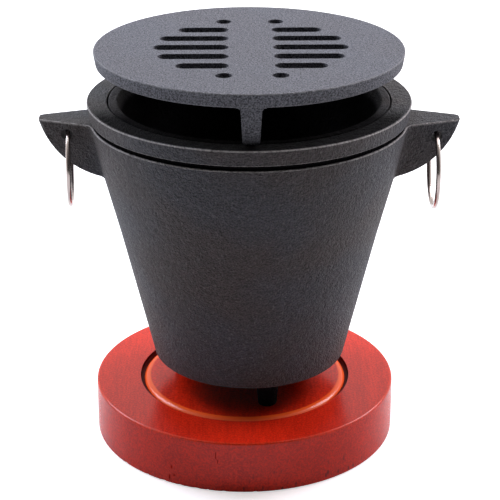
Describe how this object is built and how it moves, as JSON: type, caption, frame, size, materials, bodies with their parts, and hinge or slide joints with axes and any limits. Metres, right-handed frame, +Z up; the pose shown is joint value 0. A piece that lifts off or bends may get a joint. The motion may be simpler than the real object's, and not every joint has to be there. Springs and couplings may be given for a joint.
{
  "type": "charcoal brazier",
  "caption": "Table-top charcoal brazier: tapered cast iron pot with two ringed ears on a turned wooden base, with a collar, a fire bowl and a slotted grill plate on three legs.",
  "frame": {"origin": "on the table, under the middle of the pot", "axes": "+Z up along the pot's axis, X through the two ears, -Y to the front, where one leg of the grill plate stands"},
  "size_m": [0.205, 0.1572, 0.201],
  "materials": {
    "lacquered_wood": "red satin lacquer over turned wood",
    "cast_iron": "sand-cast, dark grey, matt",
    "burnt_iron": "sand-cast, sooty",
    "plate_iron": "sand-cast, mid grey, fine grain",
    "nickelled_wire": "bright nickel plating"
  },
  "bodies": {
    "base": {"wood_base": "lacquered_wood"},
    "pot": {"pot": "cast_iron"},
    "collar": {"collar_ring": "cast_iron"},
    "bowl": {"fire_bowl": "burnt_iron"},
    "grate": {"fire_grate": "burnt_iron"},
    "plate": {"grill_plate": "plate_iron"},
    "ring_left": {"left_ring": "nickelled_wire"},
    "ring_right": {"right_ring": "nickelled_wire"}
  },
  "joints": [
    {"name": "pot_lift", "type": "slide", "parent": "base", "child": "pot", "axis": [0, 0, 1], "range_m": [0, 0.03]},
    {"name": "collar_lift", "type": "slide", "parent": "pot", "child": "collar", "axis": [0, 0, 1], "range_m": [0, 0.03]},
    {"name": "bowl_lift", "type": "slide", "parent": "collar", "child": "bowl", "axis": [0, 0, 1], "range_m": [0, 0.07]},
    {"name": "grate_lift", "type": "slide", "parent": "bowl", "child": "grate", "axis": [0, 0, 1], "range_m": [0, 0.045]},
    {"name": "plate_lift", "type": "slide", "parent": "bowl", "child": "plate", "axis": [0, 0, 1], "range_m": [0, 0.06]},
    {"name": "left_ring_swing", "type": "hinge", "parent": "pot", "child": "ring_left", "pos_m": [-0.0884, 0, 0.1593], "axis": [0, 1, 0], "range_deg": [-26, 180]},
    {"name": "right_ring_swing", "type": "hinge", "parent": "pot", "child": "ring_right", "pos_m": [0.091, 0, 0.1582], "axis": [0, -1, 0], "range_deg": [-26, 180]}
  ]
}
